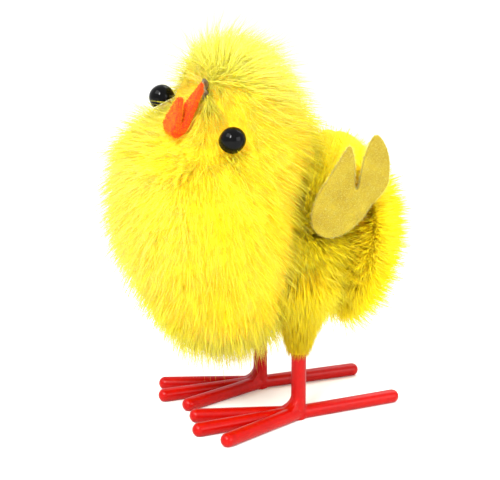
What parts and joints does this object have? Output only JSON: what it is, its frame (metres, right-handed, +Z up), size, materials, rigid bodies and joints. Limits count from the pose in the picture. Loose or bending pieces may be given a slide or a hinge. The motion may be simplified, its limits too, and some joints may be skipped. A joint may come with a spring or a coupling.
{
  "type": "chenille chick figure",
  "caption": "Fluffy chenille-stem chick with bead eyes, a folded felt beak, felt wings and moulded legs on bendable wire stems.",
  "frame": {"origin": "on the ground under the middle of the chick's box, midway between the legs from side to side", "axes": "+Z up, -Y the way that the feet and the breast face, +X to the chick's left"},
  "size_m": [0.0284, 0.0404, 0.0487],
  "materials": {
    "pile": "soft, dense rayon pile, lemon yellow, with paler tips",
    "wire": "dull annealed wire",
    "bead": "high gloss black",
    "glue": "clear to cream hot-melt glue",
    "beak_felt": "orange-red felt with fuzzy cut edges",
    "wing_felt": "dull mustard felt with a short nap",
    "leg_plastic": "semi-gloss moulded red plastic"
  },
  "bodies": {
    "body": {"body_pile": "pile", "body_wire_a": "wire", "body_wire_b": "wire", "saddle_wire_a": "wire", "saddle_wire_b": "wire", "left_wing": "wing_felt", "right_wing": "wing_felt", "left_wing_glue": "glue", "right_wing_glue": "glue"},
    "head": {"head_pile": "pile", "head_wire_a": "wire", "head_wire_b": "wire", "left_eye": "bead", "right_eye": "bead", "left_eye_glue": "glue", "right_eye_glue": "glue", "beak": "beak_felt", "beak_glue": "glue"},
    "left_thigh": {"left_thigh_pile": "pile", "left_leg_wire_a": "wire", "left_leg_wire_b": "wire"},
    "right_thigh": {"right_thigh_pile": "pile", "right_leg_wire_a": "wire", "right_leg_wire_b": "wire"},
    "left_foot": {"left_leg": "leg_plastic"},
    "right_foot": {"right_leg": "leg_plastic"}
  },
  "joints": [
    {"name": "neck_nod", "type": "hinge", "parent": "body", "child": "head", "pos_m": [0, 0.0047, 0.024], "axis": [1, 0, 0], "range_deg": [-5, 5]},
    {"name": "left_hip_bend", "type": "hinge", "parent": "body", "child": "left_thigh", "pos_m": [0.00645, 0.0025, 0.0156], "axis": [1, 0, 0], "range_deg": [-8, 8]},
    {"name": "right_hip_bend", "type": "hinge", "parent": "body", "child": "right_thigh", "pos_m": [-0.00645, 0.0025, 0.0156], "axis": [1, 0, 0], "range_deg": [-8, 8]},
    {"name": "left_leg_turn", "type": "hinge", "parent": "left_thigh", "child": "left_foot", "pos_m": [0.00645, 0.0025, 0.005], "axis": [0, 0, 1], "range_deg": [-12, 25]},
    {"name": "right_leg_turn", "type": "hinge", "parent": "right_thigh", "child": "right_foot", "pos_m": [-0.00645, 0.0025, 0.005], "axis": [0, 0, 1], "range_deg": [-25, 12]}
  ]
}
